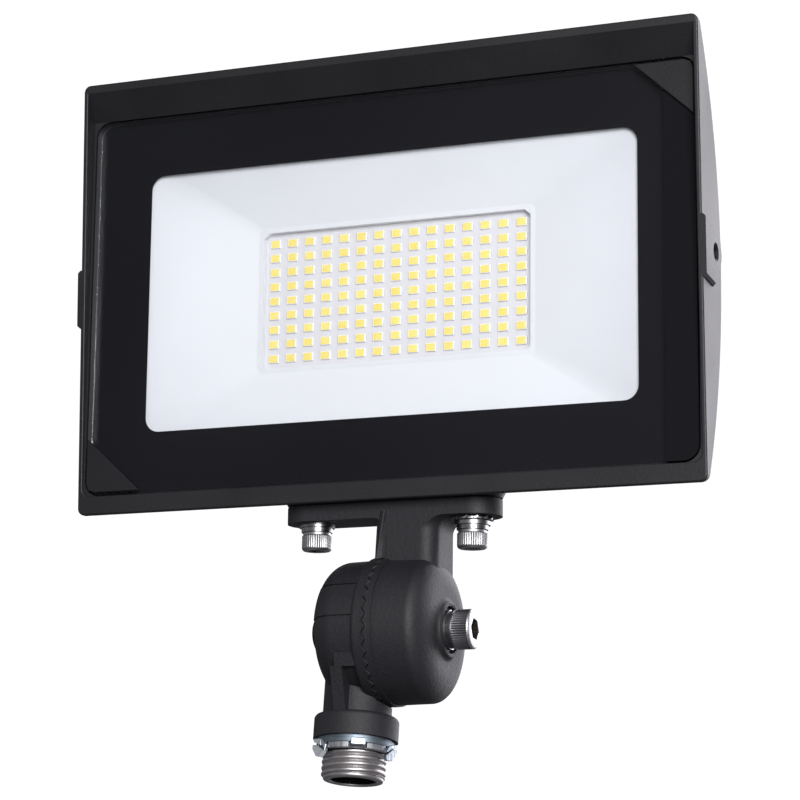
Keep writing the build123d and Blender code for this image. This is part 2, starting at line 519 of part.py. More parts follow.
# ------------------------------------------------------------------ front glass
glass = slab_y(GLASS_HX, GLASS_HZ, 5.0, GLASS_FRONT, GLASS_FRONT + GLASS_T)
nodes["glass_lens"] = one(HEAD * glass)
gs0 = GLASS_FRONT + GLASS_T
gsk = slab_y(SEAL_HX, SEAL_HZ, 4.5, gs0 + 0.02, gs0 + SEAL_T - 0.02) - slab_y(CAV_HX + 3.0, CAV_HZ + 2.5, 4.0, gs0 - 1, gs0 + 3)
nodes["glass_gasket"] = one(HEAD * gsk)


def clip(sx, sz):
    # thin triangular retainer over one corner of the glass
    x0, z0 = sx * (POCKET_HX - 0.8), sz * (POCKET_HZ - 1.2)
    pts = [(x0, z0 - sz * 18.6), (x0, z0 - sz * 3.2), (x0 - sx * 0.9, z0 - sz * 0.9), (x0 - sx * 3.2, z0), (x0 - sx * 20.2, z0)]
    w = Polyline(*[(p[0], GLASS_FRONT - 0.02, p[1]) for p in pts], close=True)
    s = extrude(make_face(w), 1.0, dir=(0, -1, 0))
    f = s.faces().sort_by(Axis.Y)[0]
    return chamfer(f.edges(), 0.3)


nodes["corner_clip_top_right"] = one(HEAD * clip(1, 1))
nodes["corner_clip_bottom_left"] = one(HEAD * clip(-1, -1))

# ------------------------------------------------------------------ reflector
RF = gs0 + SEAL_T - 0.35
body_o = loft_y(92.5, 51.0, 5, RF, OPEN_HX + 2.6, OPEN_HZ + 2.6, 3, 9.3) + slab_y(OPEN_HX + 1.6, OPEN_HZ + 1.6, 3, 9.0, 10.4)
body_i = loft_y(92.5 - 3.0, 51.0 - 2.2, 5, RF - 0.01, OPEN_HX + 1.7, OPEN_HZ + 1.7, 2.6, 8.35)
reflector = body_o + slab_y(93.6, 52.4, 5, RF, RF + 0.9)
reflector = reflector - body_i - slab_y(OPEN_HX, OPEN_HZ, 2.0, 5, 12)
nodes["reflector"] = one(HEAD * reflector)

# ------------------------------------------------------------------ light engine
b0 = PHOS_Y + LED_T
board = slab_y(BOARD_HX, BOARD_HZ, 3, b0 + 0.01, b0 + BOARD_T - 0.01)
pad = slab_y(BOARD_HX - 1, BOARD_HZ - 1, 2, b0 + BOARD_T + 0.01, b0 + BOARD_T + PAD_T - 0.01)
scr = []
for x, z in BOARD_SCREWS:
    board = board - cy(1.6, b0 - 1, b0 + 3, x, z)
    pad = pad - cy(1.7, b0, b0 + 5, x, z)
    s = cy(2.6, b0 - 1.0, b0 - 0.01, x, z) + cy(1.25, b0 - 0.5, BAY_Y0 - 0.8, x, z)
    scr.append(one(HEAD * s))
nodes["led_board"] = one(HEAD * board)
nodes["thermal_pad"] = one(HEAD * pad)
nodes["board_screws"] = scr
leds = []
for i in range(LED_NX):
    for k in range(LED_NZ):
        x = (i - (LED_NX - 1) / 2) * LED_PX
        z = (k - (LED_NZ - 1) / 2) * LED_PZ
        leds.append(HEAD * bx(x - LED_W / 2, x + LED_W / 2, PHOS_Y, b0, z - LED_H / 2, z + LED_H / 2))
nodes["led_packages"] = [one(l) for l in leds]

# ------------------------------------------------------------------ driver bay
drv = slab_y(56, 30, 3, BAY_Y0 + 0.5, BAY_Y0 + 15.5, 2.0)
drv = drv + bx(-63, 63, BAY_Y0 + 0.5, BAY_Y0 + 2.0, -8, 12)
for s in (-1, 1):
    drv = drv - cy(2.2, BAY_Y0 - 1, BAY_Y0 + 5, s * 59.8, 2.0)
nodes["driver_module"] = one(HEAD * drv)
ds = []
for s in (-1, 1):
    ds.append(one(HEAD * (cy(3.2, BAY_Y0 + 2.02, BAY_Y0 + 4.2, s * 59.8, 2.0) + cy(1.9, BAY_Y0 + 0.02, BAY_Y0 + 2.5, s * 59.8, 2.0))))
nodes["driver_screws"] = ds
tb = bx(-18, 6, BAY_Y0 + 0.3, BAY_Y0 + 11.0, -45.5, -33.0)
for i in range(3):
    tb = tb - cy(2.0, BAY_Y0 + 6.0, BAY_Y0 + 12, -14 + 8 * i, -37.0) - cz(1.7, -50, -39, -14 + 8 * i, BAY_Y0 + 5.0)
nodes["terminal_block"] = one(HEAD * tb)
cgk = slab_y(74.0, 51.4, 4, BLOCK_Y + 0.02, BLOCK_Y + 0.78, -4.0) - slab_y(68.6, 45.6, 4, BLOCK_Y - 1, BLOCK_Y + 2, -4.0)
cover = slab_y(76.0, 53.0, 5, BLOCK_Y + 0.8, BLOCK_Y + 0.8 + COVER_T, -4.0)
cover = fillet(cover.faces().sort_by(Axis.Y)[-1].edges(), 1.0)
cover = cover + slab_y(58, 38, 5, BLOCK_Y + 3.0, BLOCK_Y + 5.0, -4.0)
for x, z in COVER_SCREWS:
    cgk = cgk - cy(2.3, BLOCK_Y - 1, BLOCK_Y + 3, x, z)
    cover = cover - cy(2.2, BLOCK_Y - 1, BLOCK_Y + 8, x, z)
nodes["rear_cover_gasket"] = one(HEAD * cgk)
nodes["rear_cover"] = one(HEAD * cover)
cs = []
for x, z in COVER_SCREWS:
    y0 = BLOCK_Y + 0.8 + COVER_T
    h = cy(3.5, y0 + 0.01, y0 + 2.4, x, z)
    h = fillet(h.edges().filter_by(GeomType.CIRCLE).sort_by(Axis.Y)[-1], 1.1)
    h = h + cy(1.7, BLOCK_Y - 7, y0 + 0.5, x, z)
    cs.append(one(HEAD * h))
nodes["rear_cover_screws"] = cs

# ------------------------------------------------------------------ files
os.makedirs("parts", exist_ok=True)
for name, shape in nodes.items():
    if isinstance(shape, list):
        shape = Compound(children=shape)
    export_step(shape, "parts/%s.step" % name)
    print(name, len(shape.solids()), round(shape.volume, 1))
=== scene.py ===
import math

import bmesh
import bpy
import numpy as np
from mathutils import Matrix, Vector


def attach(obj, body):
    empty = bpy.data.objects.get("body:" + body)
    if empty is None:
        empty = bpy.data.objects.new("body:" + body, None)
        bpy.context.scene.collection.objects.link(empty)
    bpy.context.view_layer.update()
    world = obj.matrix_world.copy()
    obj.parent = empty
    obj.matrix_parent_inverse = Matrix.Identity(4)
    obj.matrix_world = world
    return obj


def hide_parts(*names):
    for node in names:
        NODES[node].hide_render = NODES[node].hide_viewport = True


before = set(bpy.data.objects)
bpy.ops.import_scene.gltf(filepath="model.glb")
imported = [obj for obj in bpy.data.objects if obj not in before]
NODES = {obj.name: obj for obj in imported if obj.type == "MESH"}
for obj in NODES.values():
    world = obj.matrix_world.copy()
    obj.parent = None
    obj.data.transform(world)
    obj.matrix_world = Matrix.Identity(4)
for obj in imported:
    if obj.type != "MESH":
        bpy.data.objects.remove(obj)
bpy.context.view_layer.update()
SCENE = bpy.context.scene
MM = 0.001

# ------------------------------------------------------------------ frames
# row frame: metres, z up the thread axis; head frame: millimetres, upright
# lamp head with y = 0 in the plane of the print; knuckle frame: millimetres,
# centred on the tilt pivot
TILT = math.radians(7.5)
PIVOT = Vector((10.6, 0.0, 35.9))
PIVOT_HEAD = Vector((0.0, 10.8, -113.85))
TO_M = Matrix.Scale(MM, 4)
KNUCKLE_ROW = TO_M @ Matrix.Translation(PIVOT)
KNUCKLE_HEAD = TO_M @ Matrix.Translation(PIVOT) @ Matrix.Rotation(TILT, 4, "X")
HEAD = KNUCKLE_HEAD @ Matrix.Translation(-PIVOT_HEAD)
ROW = TO_M


# ------------------------------------------------------------------ materials
class Mat:
    # a small helper around one principled material
    def __init__(self, name, color, rough=0.5, metal=0.0, ior=1.5, spec=0.5):
        self.m = bpy.data.materials.new(name)
        self.m.use_nodes = True
        self.t = self.m.node_tree
        self.n = self.t.nodes
        self.b = self.n["Principled BSDF"]
        self.b.inputs["Base Color"].default_value = (*color, 1)
        self.b.inputs["Roughness"].default_value = rough
        self.b.inputs["Metallic"].default_value = metal
        self.b.inputs["IOR"].default_value = ior
        self.b.inputs["Specular IOR Level"].default_value = spec
        self.co = self.n.new("ShaderNodeTexCoord").outputs["Object"]
        self.height = None

    def node(self, kind, **inputs):
        nd = self.n.new(kind)
        for k, v in inputs.items():
            key = k.replace("_", " ")
            if key in nd.inputs:
                if hasattr(v, "is_output") or isinstance(v, bpy.types.NodeSocket):
                    self.t.links.new(v, nd.inputs[key])
                else:
                    nd.inputs[key].default_value = v
        return nd

    def noise(self, scale, detail=3.0, rough=0.55, stretch=None, distort=0.0):
        co = self.co
        if stretch:
            mp = self.node("ShaderNodeMapping", Vector=co)
            mp.inputs["Scale"].default_value = stretch
            co = mp.outputs["Vector"]
        nd = self.node("ShaderNodeTexNoise", Vector=co, Scale=scale, Detail=detail, Roughness=rough, Distortion=distort)
        return nd.outputs["Fac"]

    def voronoi(self, scale, feature="F1", stretch=None):
        co = self.co
        if stretch:
            mp = self.node("ShaderNodeMapping", Vector=co)
            mp.inputs["Scale"].default_value = stretch
            co = mp.outputs["Vector"]
        nd = self.n.new("ShaderNodeTexVoronoi")
        nd.feature = feature
        self.t.links.new(co, nd.inputs["Vector"])
        nd.inputs["Scale"].default_value = scale
        return nd.outputs["Distance"]

    def ramp(self, fac, stops):
        nd = self.n.new("ShaderNodeValToRGB")
        self.t.links.new(fac, nd.inputs["Fac"])
        el = nd.color_ramp.elements
        while len(el) > len(stops):
            el.remove(el[-1])
        while len(el) < len(stops):
            el.new(0.5)
        for e, (p, c) in zip(el, stops):
            e.position = p
            e.color = (*c, 1) if len(c) == 3 else c
        return nd.outputs["Color"]

    def map(self, fac, a, b, c, d):
        nd = self.node("ShaderNodeMapRange", Value=fac)
        nd.inputs["From Min"].default_value = a
        nd.inputs["From Max"].default_value = b
        nd.inputs["To Min"].default_value = c
        nd.inputs["To Max"].default_value = d
        return nd.outputs["Result"]

    def math(self, op, a, b):
        nd = self.n.new("ShaderNodeMath")
        nd.operation = op
        for i, v in enumerate((a, b)):
            if isinstance(v, bpy.types.NodeSocket):
                self.t.links.new(v, nd.inputs[i])
            else:
                nd.inputs[i].default_value = v
        return nd.outputs[0]

    def mix(self, fac, a, b):
        nd = self.n.new("ShaderNodeMix")
        nd.data_type = "RGBA"
        for sock, v in ((nd.inputs[0], fac), (nd.inputs[6], a), (nd.inputs[7], b)):
            if isinstance(v, bpy.types.NodeSocket):
                self.t.links.new(v, sock)
            elif isinstance(v, (tuple, list)):
                sock.default_value = (*v, 1) if len(v) == 3 else v
            else:
                sock.default_value = v
        return nd.outputs[2]

    def link(self, out, name):
        self.t.links.new(out, self.b.inputs[name])

    def bump(self, height, strength, distance):
        nd = self.n.new("ShaderNodeBump")
        nd.inputs["Strength"].default_value = strength
        nd.inputs["Distance"].default_value = distance
        self.t.links.new(height, nd.inputs["Height"])
        if self.height is not None:
            self.t.links.new(self.height, nd.inputs["Normal"])
        self.height = nd.outputs["Normal"]
        self.t.links.new(self.height, self.b.inputs["Normal"])


def powder_coat(name, lo, hi, rough=(0.42, 0.62), grain=1.0, strength=0.35, spec=0.42):
    # fine-textured powder coat: orange peel, small pits, faint tone drift
    m = Mat(name, lo, 0.5, spec=spec)
    drift = m.noise(28, 2.0, 0.5)
    fine = m.noise(2600 * grain, 2.0, 0.6)
    tone = m.math("ADD", m.math("MULTIPLY", drift, 0.5), m.math("MULTIPLY", fine, 0.5))
    m.link(m.mix(m.map(tone, 0.32, 0.68, 0.0, 1.0), lo, hi), "Base Color")
    m.link(m.map(m.math("ADD", m.math("MULTIPLY", fine, 0.6), m.math("MULTIPLY", drift, 0.4)), 0.3, 0.7, rough[0], rough[1]), "Roughness")
    m.bump(m.noise(1150 * grain, 2.0, 0.5), strength, 0.00012)
    m.bump(fine, strength * 0.8, 0.00005)
    return m.m


def steel(name, color, rough=(0.18, 0.34), along="Z", scale=1.0, tint=None, strength=0.12):
    # turned or rolled steel, fine lines and small stains
    m = Mat(name, color, 0.3, metal=1.0)
    st = {"Z": (60, 60, 900), "X": (900, 60, 60), "Y": (60, 900, 60)}[along]
    lines = m.noise(1.0 * scale, 3.0, 0.6, stretch=st)
    stain = m.noise(190, 3.0, 0.55)
    m.link(m.mix(m.map(stain, 0.35, 0.7, 0.0, 1.0), color, tint or tuple(c * 0.72 for c in color)), "Base Color")
    m.link(m.map(m.math("ADD", m.math("MULTIPLY", lines, 0.6), m.math("MULTIPLY", stain, 0.4)), 0.3, 0.7, rough[0], rough[1]), "Roughness")
    m.bump(lines, strength, 0.00004)
    return m.m


def plastic(name, color, rough=(0.3, 0.45), dark=0.93, grain=900, strength=0.15, spec=0.5):
    m = Mat(name, color, 0.4, spec=spec)
    n1 = m.noise(grain, 2.0, 0.5)
    n2 = m.noise(35, 2.0, 0.5)
    m.link(m.mix(m.map(n2, 0.35, 0.65, 0.0, 1.0), tuple(c * dark for c in color), color), "Base Color")
    m.link(m.map(n1, 0.3, 0.7, rough[0], rough[1]), "Roughness")
    m.bump(n1, strength, 0.00003)
    return m.m


def rubber(name, color=(0.012, 0.012, 0.013)):
    m = Mat(name, color, 0.75, spec=0.3)
    n1 = m.noise(1800, 3.0, 0.6)
    m.link(m.mix(m.map(n1, 0.3, 0.7, 0.0, 1.0), color, tuple(c * 1.8 for c in color)), "Base Color")
    m.link(m.map(n1, 0.3, 0.7, 0.6, 0.85), "Roughness")
    m.bump(n1, 0.3, 0.00005)
    return m.m


def clear_glass(name):
    # clear toughened glass: mostly clear, a sharp faint reflection, smudges in its gloss
    m = bpy.data.materials.new(name)
    m.use_nodes = True
    t = m.node_tree
    for n in list(t.nodes):
        t.nodes.remove(n)
    out = t.nodes.new("ShaderNodeOutputMaterial")
    mix = t.nodes.new("ShaderNodeMixShader")
    tr = t.nodes.new("ShaderNodeBsdfTransparent")
    tr.inputs["Color"].default_value = (0.985, 0.987, 0.990, 1)
    gl = t.nodes.new("ShaderNodeBsdfGlossy")
    gl.inputs["Color"].default_value = (1, 1, 1, 1)
    fr = t.nodes.new("ShaderNodeFresnel")
    fr.inputs["IOR"].default_value = 1.32
    co = t.nodes.new("ShaderNodeTexCoord")
    nz = t.nodes.new("ShaderNodeTexNoise")
    nz.inputs["Scale"].default_value = 40
    nz.inputs["Detail"].default_value = 4
    mr = t.nodes.new("ShaderNodeMapRange")
    mr.inputs["From Min"].default_value = 0.35
    mr.inputs["From Max"].default_value = 0.75
    mr.inputs["To Min"].default_value = 0.10
    mr.inputs["To Max"].default_value = 0.15
    t.links.new(co.outputs["Object"], nz.inputs["Vector"])
    t.links.new(nz.outputs["Fac"], mr.inputs["Value"])
    t.links.new(mr.outputs["Result"], gl.inputs["Roughness"])
    t.links.new(fr.outputs["Fac"], mix.inputs["Fac"])
    t.links.new(tr.outputs["BSDF"], mix.inputs[1])
    t.links.new(gl.outputs["BSDF"], mix.inputs[2])
    # the ground edge at both ends is drawn matt and near-black against the print: painted shade of the gap along the
    # pocket's side walls
    sx = t.nodes.new("ShaderNodeSeparateXYZ")
    ax = t.nodes.new("ShaderNodeMath")
    ax.operation = "ABSOLUTE"
    gt = t.nodes.new("ShaderNodeMath")
    gt.operation = "GREATER_THAN"
    gt.inputs[1].default_value = 0.10735
    gr = t.nodes.new("ShaderNodeBsdfDiffuse")
    gr.inputs["Color"].default_value = (0.010, 0.010, 0.012, 1)
    edge = t.nodes.new("ShaderNodeMixShader")
    t.links.new(co.outputs["Object"], sx.inputs[0])
    t.links.new(sx.outputs["X"], ax.inputs[0])
    t.links.new(ax.outputs[0], gt.inputs[0])
    t.links.new(gt.outputs[0], edge.inputs["Fac"])
    t.links.new(mix.outputs["Shader"], edge.inputs[1])
    t.links.new(gr.outputs["BSDF"], edge.inputs[2])
    t.links.new(edge.outputs["Shader"], out.inputs["Surface"])
    return m


COAT = powder_coat("coat_charcoal", (0.0050, 0.0048, 0.0066), (0.0096, 0.0092, 0.0120), rough=(0.42, 0.58), spec=0.52)
COAT_K = powder_coat("coat_knuckle", (0.0064, 0.0062, 0.0086), (0.0138, 0.0134, 0.0176), rough=(0.54, 0.70), grain=0.62, strength=0.9, spec=0.47)
COAT_BACK = powder_coat("coat_cover", (0.011, 0.011, 0.012), (0.02, 0.02, 0.022))
GLASS = clear_glass("front_glass")
CLIP = powder_coat("clip_grey", (0.0065, 0.0065, 0.0085), (0.0115, 0.0115, 0.0140), rough=(0.35, 0.5))
WHITE = plastic("reflector_white", (0.708, 0.725, 0.762), rough=(0.28, 0.42), dark=0.98)
BOARD = plastic("board_white", (0.67, 0.668, 0.70), rough=(0.35, 0.5), dark=0.975)
SEAL = rubber("seal_rubber")
PADM = rubber("pad_silicone", (0.3, 0.34, 0.4))
INOX = steel("screw_steel", (0.46, 0.46, 0.47), rough=(0.34, 0.5), strength=0.3)
INOX_D = steel("screw_steel_dull", (0.31, 0.31, 0.325), rough=(0.34, 0.48), tint=(0.22, 0.22, 0.235))
# a lighter copy of the clamp bolt's steel for its end face: painted reflection
BOLT_FACE_REFLECTION = steel("screw_face_painted_reflection", (0.58, 0.58, 0.60), rough=(0.35, 0.5), tint=(0.46, 0.46, 0.48), strength=0.3)
ZINC = steel("zinc_plate", (0.25, 0.29, 0.34), rough=(0.4, 0.55), tint=(0.2, 0.235, 0.28))
PIPE = steel("pipe_steel", (0.52, 0.505, 0.51), rough=(0.38, 0.54), tint=(0.39, 0.365, 0.36))
BLACK = steel("black_oxide", (0.03, 0.03, 0.032), rough=(0.3, 0.5))
CASE = plastic("driver_case", (0.62, 0.62, 0.6), rough=(0.45, 0.6))
TERM = plastic("terminal_body", (0.7, 0.69, 0.62), rough=(0.4, 0.55))
LEDCASE = plastic("led_case", (0.9, 0.9, 0.9), rough=(0.3, 0.45), dark=0.97, grain=2200)
SOLDER = steel("solder_pads", (0.72, 0.73, 0.75), rough=(0.3, 0.5))
BORE = plastic("bore_shadow_grey", (0.0035, 0.0035, 0.0045), rough=(0.6, 0.8), spec=0.2)
# a darker brown steel for the faces inside the hex socket
SOCKET = steel("socket_dark_brown", (0.17, 0.135, 0.105), rough=(0.4, 0.55), tint=(0.10, 0.08, 0.062))


def plated(name, bright, dark):
    # zinc with worn streaks running up the stamping and darker stains
    m = Mat(name, bright, 0.3, metal=1.0)
    streak = m.noise(1.0, 4.0, 0.65, stretch=(950, 950, 130))
    stain = m.noise(420, 3.0, 0.6)
    tone = m.math("ADD", m.math("MULTIPLY", streak, 0.65), m.math("MULTIPLY", stain, 0.35))
    m.link(m.mix(m.map(tone, 0.40, 0.60, 0.0, 1.0), dark, bright), "Base Color")
    m.link(m.map(tone, 0.35, 0.65, 0.5, 0.3), "Roughness")
    m.bump(streak, 0.5, 0.00008)
    return m.m


# the strips are drawn much lighter than the nut's wall of the same zinc: painted sheen, with the streaks and stains as
# wear
ZINC_M = plated("zinc_worn_and_sheen", (0.74, 0.76, 0.78), (0.20, 0.22, 0.245))
ZINC_W = steel("zinc_wall", (0.22, 0.26, 0.30), rough=(0.42, 0.56), tint=(0.17, 0.205, 0.245))
# a lighter copy of the nut's zinc for its lugs and the fold's front strip: painted highlight
ZINC_LUG_HIGHLIGHT = steel("zinc_lugs_painted_highlight", (0.62, 0.66, 0.70), rough=(0.34, 0.5), tint=(0.40, 0.44, 0.49), strength=0.3)
# nearly white, half-metallic copy of the nut's zinc for the folded tabs: painted highlight
ZINC_FOLD_HIGHLIGHT = steel("zinc_folds_painted_highlight", (0.84, 0.87, 0.90), rough=(0.4, 0.55), tint=(0.60, 0.64, 0.69), strength=0.3)
ZINC_FOLD_HIGHLIGHT.node_tree.nodes["Principled BSDF"].inputs["Metallic"].default_value = 0.55
ZINC_S = plated("zinc_tabs", (0.36, 0.40, 0.44), (0.16, 0.185, 0.21))
WASH = steel("washer_steel", (0.36, 0.36, 0.37), rough=(0.2, 0.34), tint=(0.24, 0.24, 0.25), strength=0.2)
# near-black zinc for sheets and faces that stand for the shade in the nut's openings and under its lugs: painted shade
SHADE = steel("zinc_painted_shade", (0.06, 0.062, 0.068), rough=(0.4, 0.6), tint=(0.04, 0.042, 0.046))


def phosphor(name):
    # silicone over yellow phosphor, its tone drifting at random between two yellows
    m = Mat(name, (0.9, 0.74, 0.2), 0.35, spec=0.5)
    n1 = m.noise(2200, 2.0, 0.5)
    n2 = m.noise(120, 2.0, 0.5)
    m.link(m.mix(m.map(m.math("ADD", m.math("MULTIPLY", n1, 0.5), m.math("MULTIPLY", n2, 0.5)), 0.36, 0.64, 0.0, 1.0),
                 (0.835, 0.672, 0.172), (0.90, 0.765, 0.240)), "Base Color")
    m.link(m.map(n1, 0.3, 0.7, 0.26, 0.42), "Roughness")
    m.bump(n1, 0.12, 0.00003)
    return m.m


PHOS = phosphor("phosphor_yellow")


def screen_print(name):
    # ceramic ink behind the glass: even, with a slow drift in tone
    m = Mat(name, (0.0036, 0.0038, 0.0062), 0.45, spec=0.12)
    n2 = m.noise(14, 2.0, 0.5)
    m.link(m.mix(m.map(n2, 0.35, 0.65, 0.0, 1.0), (0.0035, 0.0037, 0.0060), (0.0041, 0.0044, 0.0068)), "Base Color")
    m.link(m.map(n2, 0.3, 0.7, 0.42, 0.5), "Roughness")
    return m.m


FRIT = screen_print("print_black")


def paint(node, mat):
    o = NODES[node]
    o.data.materials.clear()
    o.data.materials.append(mat)


for node, mat in {
    "housing": COAT, "rear_cover": COAT_BACK, "upper_knuckle": COAT_K, "lower_knuckle": COAT_K,
    "glass_lens": GLASS, "glass_gasket": SEAL, "flange_gasket": SEAL, "knuckle_seal": SEAL, "rear_cover_gasket": SEAL,
    "corner_clip_top_right": CLIP, "corner_clip_bottom_left": CLIP, "reflector": WHITE, "led_board": BOARD,
    "led_packages": PHOS, "thermal_pad": PADM, "board_screws": INOX, "driver_screws": INOX, "rear_cover_screws": INOX,
    "flange_bolts": INOX, "flange_flat_washers": WASH, "flange_spring_washers": WASH, "flange_tooth_washer": INOX,
    "clamp_bolt": INOX, "clamp_flat_washer": BLACK, "clamp_spring_washer": INOX, "clamp_nut": BLACK,
    "conduit_nipple": PIPE, "locknut": ZINC, "locknut_washer": ZINC, "driver_module": CASE, "terminal_block": TERM,
}.items():
    paint(node, mat)


# ------------------------------------------------------------------ pieces
def piece(name, verts, faces, mat, body, matrix=ROW, smooth=None):
    me = bpy.data.meshes.new(name)
    me.from_pydata([tuple(matrix @ Vector(v)) for v in verts], [], faces)
    bm = bmesh.new()
    bm.from_mesh(me)
    bmesh.ops.remove_doubles(bm, verts=bm.verts, dist=1e-7)
    bmesh.ops.recalc_face_normals(bm, faces=bm.faces)
    bm.to_mesh(me)
    bm.free()
    me.materials.append(mat)
    o = bpy.data.objects.new(name, me)
    SCENE.collection.objects.link(o)
    if smooth is not None:
        for p in me.polygons:
            p.use_smooth = True
        me.set_sharp_from_angle(angle=math.radians(smooth))
    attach(o, body)
    return o


def rounded_rect(hx, hz, r, n=8, xc=0.0, zc=0.0):
    pts = []
    for cxs, czs, a0 in ((1, 1, 0), (-1, 1, 90), (-1, -1, 180), (1, -1, 270)):
        for i in range(n + 1):
            a = math.radians(a0 + 90 * i / n)
            pts.append((xc + cxs * (hx - r) + r * math.cos(a), zc + czs * (hz - r) + r * math.sin(a)))
    return pts


# printed border on the glass's rear face
def print_ring():
    n = 10
    outer = rounded_rect(107.2, 65.1, 4.8, n)
    inner = rounded_rect(87.15, 44.85, 5.0, n, zc=0.45)
    v, f = [], []
    k = len(outer)
    for y in (0.265, 0.312):
        v += [(x, y, z) for x, z in outer]
        v += [(x, y, z) for x, z in inner]
    for i in range(k):
        j = (i + 1) % k
        f.append((i, j, k + j, k + i))
        f.append((2 * k + i, 3 * k + i, 3 * k + j, 2 * k + j))
        f.append((i, 2 * k + i, 2 * k + j, j))
        f.append((k + i, k + j, 3 * k + j, 3 * k + i))
    return v, f


v, f = print_ring()
piece("glass_print", v, f, FRIT, "lamp_head", HEAD)

# ------------------------------------------------------------------ shape helpers
def grid(A, R, T, axis, wrap_rows):
    # rows of points turned about an axis: A and R hold (rows, columns) of axial
    # position and radius, T the columns' angles
    rows, cols = A.shape
    ct, st = np.cos(T), np.sin(T)
    v = []
    for i in range(rows):
        for j in range(cols):
            if axis == "X":
                v.append((A[i, j], R[i, j] * st[j], R[i, j] * ct[j]))
            else:
                v.append((R[i, j] * ct[j], R[i, j] * st[j], A[i, j]))
    f = []
    last = rows if wrap_rows else rows - 1
    for i in range(last):
        k = (i + 1) % rows
        for j in range(cols):
            m = (j + 1) % cols
            f.append((i * cols + j, i * cols + m, k * cols + m, k * cols + j))
    return v, f


def turned(profile, n=96, axis="Z", wrap=True, centre=(0, 0, 0)):
    # profile of (axial, radius); a radius may be a function of the angle array
    T = np.linspace(0, 2 * np.pi, n, endpoint=False)
    A = np.array([[p[0]] * n for p in profile], float)
    R = np.array([p[1](T) if callable(p[1]) else np.full(n, float(p[1])) for p in profile])
    v, f = grid(A, R, T, axis, wrap)
    return [(a + centre[0], b + centre[1], c + centre[2]) for a, b, c in v], f


def join(parts):
    v, f = [], []
    for pv, pf in parts:
        k = len(v)
        v += list(pv)
        f += [tuple(i + k for i in q) for q in pf]
    return v, f


def hex_radius(af, phase=0.0):
    def fn(T):
        a = (T + phase) % (np.pi / 3) - np.pi / 6
        return af / 2 / np.cos(a)
    return fn


def knurl_radius(r, count, depth):
    def fn(T):
        u = (T * count / (2 * np.pi)) % 1.0
        return r - depth * (1 - np.abs(2 * u - 1)) ** 1.5
    return fn


def shade_faces(obj, mat, test):
    # second material on the faces whose centre passes the test (row frame, metres)
    obj.data.materials.append(mat)
    k = len(obj.data.materials) - 1
    for p in obj.data.polygons:
        if test(p.center):
            p.material_index = k


def arc_block(r0, r1, z0, z1, a0, a1, c=0.2, n=6, taper=0.0, slope=0.0, lean=0.0):
    # bevelled block bent around Z; lean moves the lower edge inwards, slope
    # lowers it from one end to the other, taper narrows its outer side
    pr = [(r0, z0), (r1 - c - lean, z0), (r1 - lean, z0 + c), (r1, z1 - c), (r1 - c, z1), (r0, z1)]
    v, f = [], []
    m = len(pr)
    angs = [a0 + c * 4.4] + [a0 + (a1 - a0) * (i + 0.5) / n for i in range(n)] + [a1 - c * 4.4]
    angs = [a0] + angs + [a1]
    for i, a in enumerate(angs):
        end = i in (0, len(angs) - 1)
        u = (a - a0) / (a1 - a0)
        for r, z in pr:
            rr, zz = r, z
            if end:
                rr = r0 + (r - r0) * (1 - c / max(r1 - r0, 0.1))
                zz = (z0 + z1) / 2 + (z - (z0 + z1) / 2) * (1 - 2 * c / (z1 - z0))
            zz -= slope * u * (1 if z < (z0 + z1) / 2 else 0.25)
            t = math.radians(a + taper * (0.5 - u) * (rr - r0) / max(r1 - r0, 0.1))
            v.append((rr * math.cos(t), rr * math.sin(t), zz))
    for i in range(len(angs) - 1):
        for k in range(m):
            q = (k + 1) % m
            f.append((i * m + k, i * m + q, (i + 1) * m + q, (i + 1) * m + k))
    f.append(tuple(range(m)))
    f.append(tuple((len(angs) - 1) * m + k for k in reversed(range(m))))
    return v, f


# ------------------------------------------------------------------ serration
# full-height teeth that mesh in the rest tilt; one row on each half
TEETH = 38
MID = -0.435
HALF = 0.815


def tooth_row(side):
    per = 8
    n = TEETH * per
    T = np.arange(n) / n * 2 * np.pi
    u = (T * TEETH / (2 * np.pi)) % 1.0
    tri = 1 - 4 * np.abs(u - 0.5)              # -1 over a groove of the lower row, +1 on its crest
    tri = np.clip(tri, -0.93, 0.93)
    gap = 0.09
    e_out = MID + HALF * tri * (24.3 / 24.4) + side * gap
    e_in = MID + HALF * tri * (18.9 / 24.4) + side * gap
    s = side
    rows = [
        (np.full(n, 0.95 if s > 0 else -1.75), 18.95),
        (np.full(n, 0.95 if s > 0 else -1.75), 24.2),
        (np.full(n, 0.66 if s > 0 else -1.56), 24.394),
        (e_out + s * 0.26, 24.43),
        (e_out, 24.14),
        (e_in, 18.95),
    ]
    A = np.array([r[0] for r in rows])
    R = np.array([np.full(n, r[1]) for r in rows])
    return grid(A, R, T, "X", True)


for nm, side, body in (("teeth_lower", -1, "conduit_end"), ("teeth_upper", 1, "lamp_head")):
    v, f = tooth_row(side)
    piece(nm, v, f, COAT_K, body, KNUCKLE_ROW, smooth=25)


